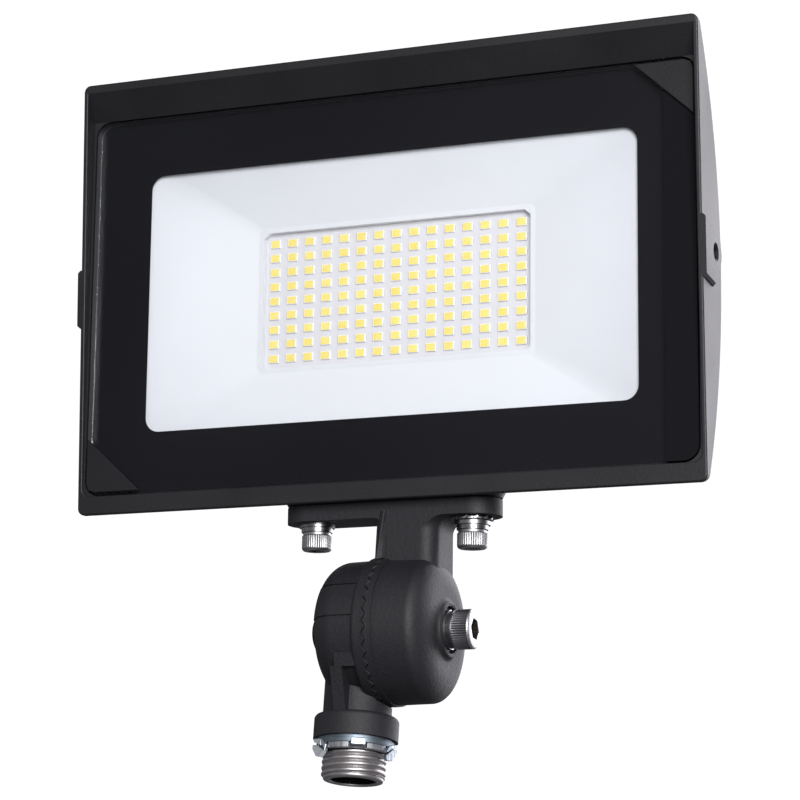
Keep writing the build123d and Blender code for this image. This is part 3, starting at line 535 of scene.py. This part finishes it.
# ------------------------------------------------------------------ threaded hub
def thread():
    pitch, z_lo, z_hi = 1.99, -13.1, -4.55
    n = 144
    T = np.linspace(0, 2 * np.pi, n, endpoint=False)
    zs = np.arange(z_lo, z_hi + 1e-6, 0.07)
    A, R = [], []
    for z in zs:
        u = ((z + 6.506) / pitch - T / (2 * np.pi)) % 1.0
        t = np.abs(2 * u - 1)                   # 1 on a crest, 0 in a root
        w = np.sin(np.clip((t - 0.02) / 0.9, 0, 1) * np.pi / 2) ** 0.9
        r = 9.80 + (10.45 - 9.80) * w
        r = np.minimum(r, 9.30 + np.sqrt(max(0.0, 1 - (1 - min(1.0, (z - z_lo) / 1.0)) ** 2)) * 0.55 + max(0.0, z - z_lo - 1.0) * 1.4)
        A.append(np.full(n, z))
        R.append(r)
    for z, r in ((z_hi + 0.02, 9.85), (-4.3, 9.7), (0.0, 9.7), (6.8, 10.05), (6.8, 7.45), (-12.6, 7.45), (-12.85, 7.5), (-13.1, 7.65)):
        A.append(np.full(n, z))
        R.append(np.full(n, r))
    return grid(np.array(A), np.array(R), T, "Z", True)


v, f = thread()
hub = piece("nipple_thread", v, f, PIPE, "conduit_end", ROW, smooth=50)
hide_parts("conduit_nipple")
shade_faces(hub, BORE, lambda c: math.hypot(c.x, c.y) < 7.6 * MM and c.z > -12.5 * MM)

# ------------------------------------------------------------------ locknut
def slab_poly(pts, r0, r1, c=0.15):
    # plate standing on the nut: (angle, z) outline, thick from r0 to r1, bevelled outside
    m = len(pts)
    ca = sum(q[0] for q in pts) / m
    cz_ = sum(q[1] for q in pts) / m
    rings = []
    for r, k in ((r0, 0.0), (r1 - c, 0.0), (r1, c)):
        ring = []
        for a, z in pts:
            da, dz = a - ca, z - cz_
            w = math.hypot(math.radians(da) * r, dz)
            s = 1 - k / max(w, 1e-6)
            t = math.radians(ca + da * s)
            ring.append((r * math.cos(t), r * math.sin(t), cz_ + dz * s))
        rings.append(ring)
    v = [q for ring in rings for q in ring]
    f = [tuple(range(m))[::-1], tuple(2 * m + i for i in range(m))]
    for k in range(2):
        for i in range(m):
            j = (i + 1) % m
            f.append((k * m + i, k * m + j, (k + 1) * m + j, (k + 1) * m + i))
    return v, f


body = turned([(-0.94, 10.56), (-0.94, 12.53), (-1.1, 12.54), (-2.3, 12.5), (-2.5, 12.2), (-2.6, 11.6), (-4.35, 11.3), (-4.35, 10.56)], 120)
wall = piece("locknut_body", body[0], body[1], ZINC_W, "nut", ROW, smooth=40)
# the wall's faces below z = -2.45 mm, under the strips, are drawn in the near-black zinc: painted shade
shade_faces(wall, SHADE, lambda c: c.z < -2.45 * MM)
strips, bright, side_lugs, left_tabs, shade = [], [], [], [], []
for i in range(6):
    a = -63 + 60 * i
    strips.append(arc_block(11.2, 12.78, -4.42, -2.42, a + 13, a + 47, c=0.2, n=8))
    if i % 2 == 0:
        bright.append(arc_block(12.0, 13.85, -3.6, -1.3, a - 10, a + 10, c=0.28, n=4))
for a in (0, 240):
    # tab bent down, with a dark slanted opening behind a bright fold; the fold's brightness is painted highlight and
    # the opening is a dark sheet of painted shade
    left_tabs.append(slab_poly([(a - 153, -1.2), (a - 149, -0.4), (a - 123.5, -1.3), (a - 121.5, -3.4), (a - 143, -1.9)], 12.3, 13.5))
    bright.append(slab_poly([(a - 123.5, -1.3), (a - 119, -1.3), (a - 110.6, -3.4), (a - 112, -5.4)], 12.4, 13.65))
    left_tabs.append(slab_poly([(a - 155, -2.1), (a - 143, -2.8), (a - 113, -5.4), (a - 122, -7.3), (a - 132, -6.7), (a - 154, -3.5)], 12.4, 13.75))
    shade.append(slab_poly([(a - 150, -1.4), (a - 120, -2.6), (a - 112, -4.6), (a - 116, -5.0), (a - 145, -2.9)], 11.8, 12.6))
a = 0
side_lugs.append(slab_poly([(-14, -2.5), (-2, -1.6), (13, -0.85), (12.5, -2.0), (-8, -3.0), (-17, -4.6), (-18.5, -4.3)], 12.5, 13.7))
side_lugs.append(slab_poly([(-7.5, -3.5), (12, -2.5), (8, -4.3), (-5, -6.9), (-17, -7.3), (-19, -5.6), (-17, -5.1)], 12.5, 13.8))
# dark sheet behind the right-hand lugs: painted shade
shade.append(slab_poly([(-17, -4.9), (-15, -3.0), (12, -1.6), (9, -3.6), (-6, -4.6)], 12.0, 12.7))
v, f = join(strips)
st = piece("locknut_strips", v, f, ZINC_M, "nut", ROW, smooth=35)
v, f = join(bright)
lug = piece("locknut_lugs", v, f, ZINC_LUG_HIGHLIGHT, "nut", ROW, smooth=30)
v, f = join(side_lugs)
tab = piece("locknut_tabs", v, f, ZINC_S, "nut", ROW, smooth=30)
v, f = join(left_tabs)
ltab = piece("locknut_folds", v, f, ZINC_FOLD_HIGHLIGHT, "nut", ROW, smooth=30)
v, f = join(shade)
shd = piece("locknut_painted_shade", v, f, SHADE, "nut", ROW, smooth=30)
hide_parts("locknut")
v, f = turned([(-0.03, 10.56), (-0.03, 12.5), (-0.07, 12.54), (-0.88, 12.54), (-0.9, 12.52), (-0.9, 10.56)], 120)
wsh = piece("locknut_ring", v, f, ZINC_W, "nut_washer", ROW, smooth=40)
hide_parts("locknut_washer")

# ------------------------------------------------------------------ clamp bolt
n = 288
v, f = turned([
    (-24.4, 0.0), (-24.4, 3.3), (-23.8, 3.93), (20.62, 3.93), (20.62, 5.7), (20.8, 6.1), (22.2, 6.25), (22.4, 6.05),
    (22.6, 6.25), (22.75, knurl_radius(6.5, 48, 0.0)), (22.85, knurl_radius(6.5, 48, 0.26)), (27.75, knurl_radius(6.5, 48, 0.26)),
    (27.85, knurl_radius(6.48, 48, 0.06)), (28.1, 6.4), (28.42, 6.2), (28.6, 5.85), (28.6, hex_radius(6.5, math.pi / 6)), (28.4, hex_radius(6.2, math.pi / 6)),
    (24.5, hex_radius(6.2, math.pi / 6)), (23.4, 0.0)], n, "X", wrap=False)
cb = piece("clamp_bolt_knurled", v, f, INOX_D, "clamp_screw", KNUCKLE_ROW, smooth=32)
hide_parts("clamp_bolt")


def in_socket(c):
    y, z = c.y / MM, c.z / MM - PIVOT.z
    return c.x / MM - PIVOT.x > 23.0 and math.hypot(y, z) < 3.55 and c.x / MM - PIVOT.x < 28.45


# the end face, past x = 27.9 mm, gets the lighter steel: painted reflection
shade_faces(cb, BOLT_FACE_REFLECTION, lambda c: c.x / MM - PIVOT.x > 27.9)
shade_faces(cb, SOCKET, in_socket)

# ------------------------------------------------------------------ flange bolts
parts = []
for x, zt in ((-27.5, -80.1), (27.5, -81.7)):
    parts.append(turned([
        (-64.0, 0.0), (-64.0, 2.5), (-64.5, 2.93), (zt - 0.02, 2.93), (zt - 0.02, 4.4), (zt - 0.15, 4.62), (zt - 0.95, 4.62),
        (zt - 1.05, 4.85), (zt - 1.2, knurl_radius(5.0, 36, 0.0)), (zt - 1.35, knurl_radius(5.0, 36, 0.2)), (zt - 5.2, knurl_radius(5.0, 36, 0.2)),
        (zt - 5.35, knurl_radius(4.98, 36, 0.04)), (zt - 5.75, 4.8), (zt - 6.1, 4.35), (zt - 6.12, hex_radius(5.3)), (zt - 5.9, hex_radius(5.0)),
        (zt - 3.1, hex_radius(5.0)), (zt - 2.4, 0.0)], 216, "Z", wrap=False, centre=(x, 10.8, 0)))
v, f = join(parts)
fb = piece("flange_bolts_knurled", v, f, INOX, "lamp_head", HEAD, smooth=32)
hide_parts("flange_bolts")

# ------------------------------------------------------------------ rear cover screws
parts = []
for x, z in [(sx * 72.5, -4.0 + sz * 33.0) for sx in (-1, 1) for sz in (-1, 1)] + [(0.0, 45.2), (0.0, -53.2)]:
    y0 = 36.8
    pv, pf = turned([(25.9, 0.0), (26.4, 1.7), (y0 + 0.02, 1.7), (y0 + 0.02, 3.45), (y0 + 0.8, 3.5), (y0 + 1.6, 3.1), (y0 + 2.2, 2.3),
                     (y0 + 2.38, 1.9), (y0 + 2.38, hex_radius(2.7)), (y0 + 2.2, hex_radius(2.5)), (y0 + 0.9, hex_radius(2.5)), (y0 + 0.6, 0.0)], 72, "X", wrap=False)
    parts.append(([(c + x, a, b + z) for a, b, c in pv], pf))
v, f = join(parts)
rs = piece("cover_screws_socket", v, f, INOX, "lamp_head", HEAD, smooth=32)
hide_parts("rear_cover_screws")

# half-round bosses on the driver block's wall, around the two middle cover screws
parts = []
for z in (45.2, -53.2):
    y1 = 33.0 - 0.04
    pv, pf = turned([(y1 - 13.0, 0.0), (y1 - 13.0, 2.4), (y1 - 8.0, 3.3), (y1 - 0.25, 3.35), (y1, 3.1), (y1, 0.0)], 48, "X", wrap=False)
    parts.append(([(c, a, b + z) for a, b, c in pv], pf))
v, f = join(parts)
piece("cover_screw_bosses", v, f, COAT, "lamp_head", HEAD, smooth=40)


# ------------------------------------------------------------------ light engine
def frame_box(x, z, hx, hz, y0, y1, ix, iz, iy, b=0.1):
    # package body: bevelled outside, open cup inside; front is at y0
    v = []
    for hxx, hzz, y in ((hx, hz, y1), (hx, hz, y0 + b), (hx - b, hz - b, y0), (ix, iz, y0), (ix - 0.06, iz - 0.06, iy)):
        v += [(x - hxx, y, z - hzz), (x + hxx, y, z - hzz), (x + hxx, y, z + hzz), (x - hxx, y, z + hzz)]
    f = [(3, 2, 1, 0)]
    for k in range(4):
        for i in range(4):
            j = (i + 1) % 4
            f.append((k * 4 + i, k * 4 + j, (k + 1) * 4 + j, (k + 1) * 4 + i))
    f.append((16, 17, 18, 19))
    return v, f


def pillow(x, z, hx, hz, r, y0, y1, swell):
    # rounded plate with a slightly swollen front
    v, f = [], []
    ring = rounded_rect(hx, hz, r, 3)
    rings = [(1.0, y1), (1.0, y0 + 0.03), (0.93, y0), (0.5, y0 - swell * 0.75)]
    for s, y in rings:
        v += [(x + a * s, y, z + c * s) for a, c in ring]
    k = len(ring)
    v.append((x, y0 - swell, z))
    v.append((x, y1, z))
    for i in range(len(rings) - 1):
        for j in range(k):
            m = (j + 1) % k
            f.append((i * k + j, i * k + m, (i + 1) * k + m, (i + 1) * k + j))
    t = (len(rings) - 1) * k
    for j in range(k):
        m = (j + 1) % k
        f.append((t + j, t + m, len(v) - 2))
        f.append((m, j, len(v) - 1))
    return v, f


frames, pills, pads = [], [], []
for i in range(15):
    for k in range(9):
        x, z = (i - 7) * 6.34, (k - 4) * 5.0
        frames.append(frame_box(x, z, 1.75, 1.4, 9.95, 10.66, 1.58, 1.26, 10.12))
        pills.append(pillow(x, z, 1.55, 1.23, 0.35, 9.985, 10.14, 0.03))
        for s in (-1, 1):
            xa, xb = sorted((x + s * 1.70, x + s * 2.02))
            ia, ib = (0.14, 0.0) if s < 0 else (0.0, 0.14)
            pads.append((
                [(xa, 10.68, z - 1.05), (xb, 10.68, z - 1.05), (xb, 10.68, z + 1.05), (xa, 10.68, z + 1.05),
                 (xa + ia, 10.54, z - 0.9), (xb - ib, 10.54, z - 0.9), (xb - ib, 10.54, z + 0.9), (xa + ia, 10.54, z + 0.9)],
                [(0, 3, 2, 1), (4, 5, 6, 7), (0, 1, 5, 4), (1, 2, 6, 5), (2, 3, 7, 6), (3, 0, 4, 7)]))
v, f = join(frames)
fr = piece("led_frames", v, f, LEDCASE, "lamp_head", HEAD)
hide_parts("led_packages")
v, f = join(pills)
ph = piece("led_phosphor", v, f, PHOS, "lamp_head", HEAD, smooth=40)
v, f = join(pads)
piece("led_solder", v, f, SOLDER, "lamp_head", HEAD)
# chamfered upper corners of the reflector's opening
parts = []
for s in (-1, 1):
    pts = [(s * 48.2, 23.7), (s * 48.2, 21.6), (s * 45.9, 23.7)]
    vv = [(px, 8.37, pz) for px, pz in pts] + [(px, 10.38, pz) for px, pz in pts]
    parts.append((vv, [(0, 1, 2), (5, 4, 3), (0, 3, 4, 1), (1, 4, 5, 2), (2, 5, 3, 0)]))
v, f = join(parts)
piece("reflector_corners", v, f, WHITE, "lamp_head", HEAD)

# ------------------------------------------------------------------ light levels
AMBIENT = 0.12
FLOOR_BOUNCE = 0.12
LOBES = [
    (0.33, 0.80, 0.50, 0.72, 0.99, 3.9),
    (0.35, -0.9, 0.0, 0.4, 0.95, 0.25),
    (-0.95, -0.30, -0.10, 0.6, 0.98, 0.3),
]
AREAS = [
    ("key_front", (0.78, -1.35, 0.26), (0.0, 0.0, 0.10), 0.9, 30.5),
]

# ------------------------------------------------------------------ stage
bpy.ops.mesh.primitive_plane_add(size=1)
floor = bpy.context.object
floor.name = "floor"
floor.scale = (6, 6, 1)
floor.location = (0, 0, -0.30)
fm = Mat("floor_pale", (0.86, 0.86, 0.86), 0.7, spec=0.2)
flp = fm.n.new("ShaderNodeLightPath").outputs["Is Camera Ray"]
pale = fm.mix(fm.noise(3.0), (0.84, 0.84, 0.84), (0.88, 0.88, 0.88))
fm.link(fm.mix(flp, (FLOOR_BOUNCE, FLOOR_BOUNCE, FLOOR_BOUNCE * 1.06), pale), "Base Color")
floor.data.materials.append(fm.m)

world = bpy.data.worlds.new("studio")
SCENE.world = world
world.use_nodes = True
wt = world.node_tree
wn = wt.nodes
bg = wn["Background"]
out = wn["World Output"]
geo = wn.new("ShaderNodeTexCoord")
sep = wn.new("ShaderNodeSeparateXYZ")
wt.links.new(geo.outputs["Generated"], sep.inputs[0])


def wmath(op, a, b=None, c=None):
    nd = wn.new("ShaderNodeMath")
    nd.operation = op
    for i, x in enumerate((a, b, c)):
        if x is None:
            continue
        if isinstance(x, bpy.types.NodeSocket):
            wt.links.new(x, nd.inputs[i])
        else:
            nd.inputs[i].default_value = x
    return nd.outputs[0]


def wrange(v, a, b, c, d):
    nd = wn.new("ShaderNodeMapRange")
    nd.interpolation_type = "SMOOTHSTEP"
    wt.links.new(v, nd.inputs["Value"])
    for k, x in (("From Min", a), ("From Max", b), ("To Min", c), ("To Max", d)):
        nd.inputs[k].default_value = x
    return nd.outputs["Result"]


def lobe(dx, dy, dz, a, b, strength):
    # soft patch of light around one direction
    n = math.sqrt(dx * dx + dy * dy + dz * dz)
    s = wmath("ADD", wmath("MULTIPLY", sep.outputs["X"], dx / n), wmath("MULTIPLY", sep.outputs["Y"], dy / n))
    s = wmath("ADD", s, wmath("MULTIPLY", sep.outputs["Z"], dz / n))
    return wrange(s, a, b, 0.0, strength)


level = AMBIENT
for L in LOBES:
    level = wmath("ADD", level, lobe(*L))
wt.links.new(level, bg.inputs["Strength"])
bg.inputs["Color"].default_value = (1.0, 0.98, 1.04, 1)
bg2 = wn.new("ShaderNodeBackground")
bg2.inputs["Color"].default_value = (1, 1, 1, 1)
bg2.inputs["Strength"].default_value = 1.05
lp = wn.new("ShaderNodeLightPath")
mx = wn.new("ShaderNodeMixShader")
wt.links.new(lp.outputs["Is Camera Ray"], mx.inputs[0])
wt.links.new(bg.outputs[0], mx.inputs[1])
wt.links.new(bg2.outputs[0], mx.inputs[2])
wt.links.new(mx.outputs[0], out.inputs["Surface"])


def area(name, loc, target, size, power, color=(1, 1, 1), size_y=None):
    L = bpy.data.lights.new(name, "AREA")
    L.energy = power
    L.color = color
    L.shape = "RECTANGLE"
    L.size = size
    L.size_y = size_y or size
    o = bpy.data.objects.new(name, L)
    SCENE.collection.objects.link(o)
    o.location = loc
    d = Vector(target) - Vector(loc)
    o.rotation_euler = d.to_track_quat("-Z", "Y").to_euler()
    return o


for A in AREAS:
    area(*A)

# ------------------------------------------------------------------ camera
cam_data = bpy.data.cameras.new("photo_camera")
cam_data.sensor_width = 36.0
cam_data.lens = 2716.54 / 800.0 * 36.0
cam_data.clip_start = 0.02
cam = bpy.data.objects.new("photo_camera", cam_data)
SCENE.collection.objects.link(cam)
cam.matrix_world = Matrix((
    (0.9267571, 0.0643517, 0.3701083, 0.34474963),
    (0.3708532, -0.3138443, -0.8740536, -0.79532329),
    (0.0599095, 0.9472912, -0.3147225, -0.17063756),
    (0, 0, 0, 1),
))
SCENE.camera = cam
SCENE.view_settings.view_transform = "Standard"
SCENE.view_settings.look = "None"
SCENE.view_settings.exposure = 0.0
SCENE.view_settings.gamma = 1.0

bpy.context.view_layer.update()
